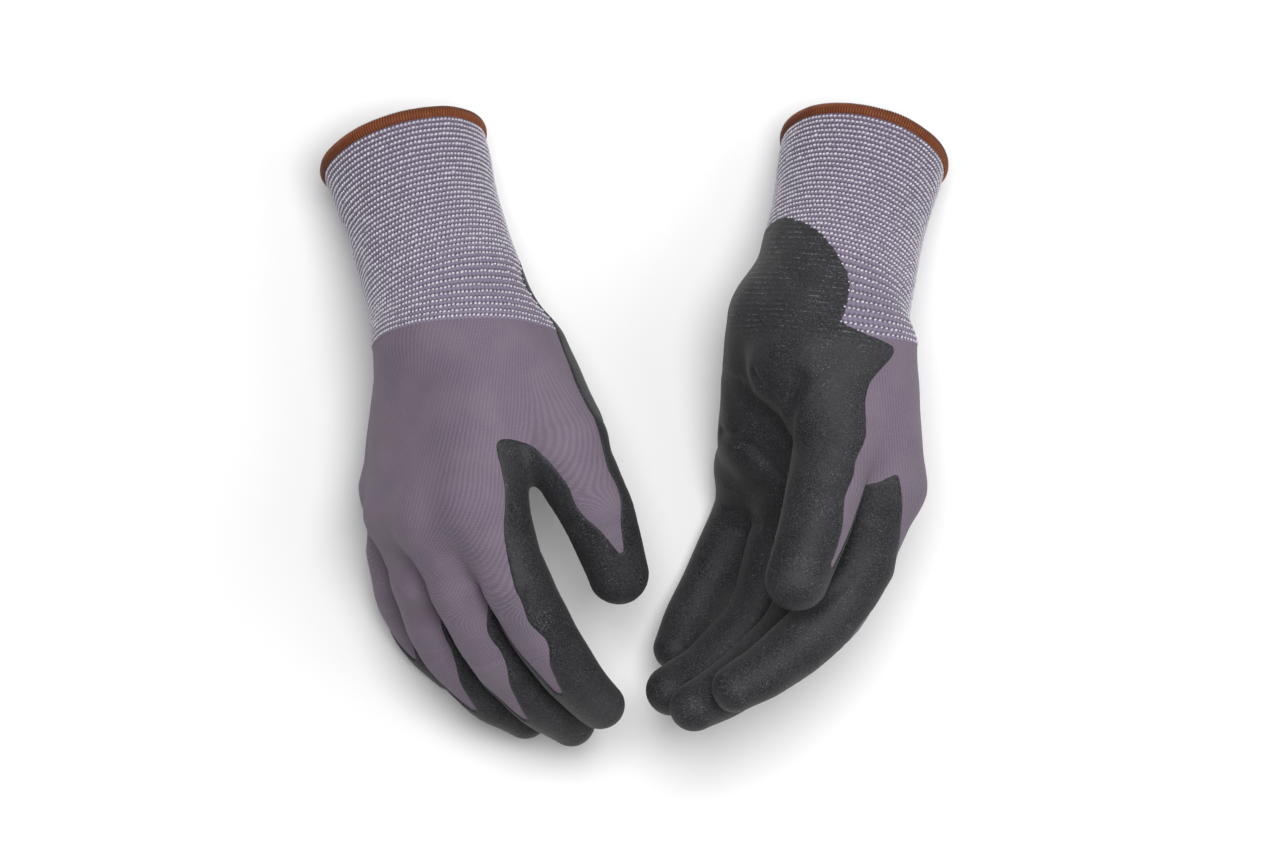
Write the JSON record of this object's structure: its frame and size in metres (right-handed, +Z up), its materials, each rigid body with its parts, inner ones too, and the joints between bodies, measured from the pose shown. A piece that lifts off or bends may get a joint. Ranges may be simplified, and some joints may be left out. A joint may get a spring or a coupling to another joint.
{
  "type": "gardening gloves",
  "caption": "Pair of knitted gardening gloves with long elastic cuffs, bound hems and foam rubber dipped palms and fingers.",
  "frame": {"origin": "middle of the pair's footprint, on the surface the gloves lie on", "axes": "+X from the right-hand glove to the left-hand glove, +Y towards the cuffs, +Z up"},
  "size_m": [0.2262, 0.2311, 0.1095],
  "materials": {
    "liner_knit": "fine matte nylon knit, grey purple",
    "coating": "matte foam nitrile with a sandy grain",
    "cuff_knit": "ribbed nylon knit, grey purple",
    "elastic": "white elastic thread, matte",
    "hem_binding": "brown overlocked thread, slight sheen"
  },
  "bodies": {
    "right_hand": {"right_back_liner": "liner_knit", "right_palm_liner": "liner_knit", "right_palm_coat": "coating"},
    "right_wrist_cuff": {"right_cuff": "cuff_knit", "right_cuff_elastic": "elastic", "right_hem": "hem_binding"},
    "right_index_base": {"right_index_proximal_liner": "liner_knit", "right_index_proximal_coat": "coating"},
    "right_index_end": {"right_index_tip_liner": "liner_knit", "right_index_tip_coat": "coating"},
    "right_middle_base": {"right_middle_proximal_liner": "liner_knit", "right_middle_proximal_coat": "coating"},
    "right_middle_end": {"right_middle_tip_liner": "liner_knit", "right_middle_tip_coat": "coating"},
    "right_ring_base": {"right_ring_proximal_liner": "liner_knit", "right_ring_proximal_coat": "coating"},
    "right_ring_end": {"right_ring_tip_liner": "liner_knit", "right_ring_tip_coat": "coating"},
    "right_little_base": {"right_little_proximal_liner": "liner_knit", "right_little_proximal_coat": "coating"},
    "right_little_end": {"right_little_tip_liner": "liner_knit", "right_little_tip_coat": "coating"},
    "right_thumb_base": {"right_thumb_proximal_liner": "liner_knit", "right_thumb_proximal_coat": "coating"},
    "right_thumb_end": {"right_thumb_tip_liner": "liner_knit", "right_thumb_tip_coat": "coating"},
    "left_hand": {"left_back_liner": "liner_knit", "left_palm_liner": "liner_knit", "left_palm_coat": "coating"},
    "left_wrist_cuff": {"left_cuff": "cuff_knit", "left_cuff_elastic": "elastic", "left_hem": "hem_binding"},
    "left_index_base": {"left_index_proximal_liner": "liner_knit", "left_index_proximal_coat": "coating"},
    "left_index_end": {"left_index_tip_liner": "liner_knit", "left_index_tip_coat": "coating"},
    "left_middle_base": {"left_middle_proximal_liner": "liner_knit", "left_middle_proximal_coat": "coating"},
    "left_middle_end": {"left_middle_tip_liner": "liner_knit", "left_middle_tip_coat": "coating"},
    "left_ring_base": {"left_ring_proximal_liner": "liner_knit", "left_ring_proximal_coat": "coating"},
    "left_ring_end": {"left_ring_tip_liner": "liner_knit", "left_ring_tip_coat": "coating"},
    "left_little_base": {"left_little_proximal_liner": "liner_knit", "left_little_proximal_coat": "coating"},
    "left_little_end": {"left_little_tip_liner": "liner_knit", "left_little_tip_coat": "coating"},
    "left_thumb_base": {"left_thumb_proximal_liner": "liner_knit", "left_thumb_proximal_coat": "coating"},
    "left_thumb_end": {"left_thumb_tip_liner": "liner_knit", "left_thumb_tip_coat": "coating"}
  },
  "joints": [
    {"name": "right_wrist_bend", "type": "hinge", "parent": "right_hand", "child": "right_wrist_cuff", "pos_m": [-0.06273, 0.03107, 0.058], "axis": [-0.6204, -0.2341, -0.7486], "range_deg": [-20, 20]},
    {"name": "right_index_root_bend", "type": "hinge", "parent": "right_hand", "child": "right_index_base", "pos_m": [-0.04273, -0.05493, 0.088], "axis": [0.5975, -0.1358, 0.7903], "range_deg": [-10, 25]},
    {"name": "right_index_middle_bend", "type": "hinge", "parent": "right_index_base", "child": "right_index_end", "pos_m": [-0.03263, -0.07476, 0.07901], "axis": [0.5975, -0.1358, 0.7903], "range_deg": [-15, 30]},
    {"name": "right_middle_root_bend", "type": "hinge", "parent": "right_hand", "child": "right_middle_base", "pos_m": [-0.06173, -0.05793, 0.071], "axis": [0.5975, -0.1358, 0.7903], "range_deg": [-10, 25]},
    {"name": "right_middle_middle_bend", "type": "hinge", "parent": "right_middle_base", "child": "right_middle_end", "pos_m": [-0.05061, -0.08073, 0.06177], "axis": [0.5975, -0.1358, 0.7903], "range_deg": [-15, 30]},
    {"name": "right_ring_root_bend", "type": "hinge", "parent": "right_hand", "child": "right_ring_base", "pos_m": [-0.07673, -0.05493, 0.051], "axis": [0.5975, -0.1358, 0.7903], "range_deg": [-10, 25]},
    {"name": "right_ring_middle_bend", "type": "hinge", "parent": "right_ring_base", "child": "right_ring_end", "pos_m": [-0.0693, -0.07779, 0.04411], "axis": [0.5975, -0.1358, 0.7903], "range_deg": [-15, 30]},
    {"name": "right_little_root_bend", "type": "hinge", "parent": "right_hand", "child": "right_little_base", "pos_m": [-0.08673, -0.04493, 0.0298], "axis": [0.5975, -0.1358, 0.7903], "range_deg": [-10, 25]},
    {"name": "right_little_middle_bend", "type": "hinge", "parent": "right_little_base", "child": "right_little_end", "pos_m": [-0.08428, -0.06237, 0.02268], "axis": [0.5975, -0.1358, 0.7903], "range_deg": [-15, 30]},
    {"name": "right_thumb_root_bend", "type": "hinge", "parent": "right_hand", "child": "right_thumb_base", "pos_m": [-0.02473, -0.00893, 0.082], "axis": [-0.6468, -0.4855, 0.5882], "range_deg": [-12, 20]},
    {"name": "right_thumb_middle_bend", "type": "hinge", "parent": "right_thumb_base", "child": "right_thumb_end", "pos_m": [-0.01233, -0.03225, 0.07639], "axis": [-0.6468, -0.4855, 0.5882], "range_deg": [-20, 10]},
    {"name": "gloves_apart", "type": "slide", "parent": "right_hand", "child": "left_hand", "axis": [1, 0, 0], "range_m": [0, 0.15]},
    {"name": "left_wrist_bend", "type": "hinge", "parent": "left_hand", "child": "left_wrist_cuff", "pos_m": [0.06727, 0.03207, 0.064], "axis": [0.6061, -0.0117, 0.7953], "range_deg": [-20, 20]},
    {"name": "left_index_root_bend", "type": "hinge", "parent": "left_hand", "child": "left_index_base", "pos_m": [0.08127, -0.04893, 0.071], "axis": [-0.576, 0.1875, -0.7957], "range_deg": [-10, 12]},
    {"name": "left_index_middle_bend", "type": "hinge", "parent": "left_index_base", "child": "left_index_end", "pos_m": [0.06934, -0.0696, 0.07351], "axis": [-0.576, 0.1875, -0.7957], "range_deg": [-15, 30]},
    {"name": "left_middle_root_bend", "type": "hinge", "parent": "left_hand", "child": "left_middle_base", "pos_m": [0.06827, -0.05093, 0.048], "axis": [-0.576, 0.1875, -0.7957], "range_deg": [-10, 25]},
    {"name": "left_middle_middle_bend", "type": "hinge", "parent": "left_middle_base", "child": "left_middle_end", "pos_m": [0.05697, -0.07516, 0.05176], "axis": [-0.576, 0.1875, -0.7957], "range_deg": [-15, 30]},
    {"name": "left_ring_root_bend", "type": "hinge", "parent": "left_hand", "child": "left_ring_base", "pos_m": [0.05227, -0.04493, 0.03], "axis": [-0.576, 0.1875, -0.7957], "range_deg": [-10, 25]},
    {"name": "left_ring_middle_bend", "type": "hinge", "parent": "left_ring_base", "child": "left_ring_end", "pos_m": [0.04545, -0.06873, 0.03348], "axis": [-0.576, 0.1875, -0.7957], "range_deg": [-15, 30]},
    {"name": "left_little_root_bend", "type": "hinge", "parent": "left_hand", "child": "left_little_base", "pos_m": [0.03827, -0.03493, 0.0116], "axis": [-0.576, 0.1875, -0.7957], "range_deg": [-10, 25]},
    {"name": "left_little_middle_bend", "type": "hinge", "parent": "left_little_base", "child": "left_little_end", "pos_m": [0.03058, -0.05219, 0.00961], "axis": [-0.576, 0.1875, -0.7957], "range_deg": [-15, 30]},
    {"name": "left_thumb_root_bend", "type": "hinge", "parent": "left_hand", "child": "left_thumb_base", "pos_m": [0.07127, -0.00793, 0.086], "axis": [-0.8827, 0.3505, 0.3132], "range_deg": [-4, 20]},
    {"name": "left_thumb_middle_bend", "type": "hinge", "parent": "left_thumb_base", "child": "left_thumb_end", "pos_m": [0.06521, -0.03222, 0.09611], "axis": [-0.8827, 0.3505, 0.3132], "range_deg": [-12, 10]}
  ]
}
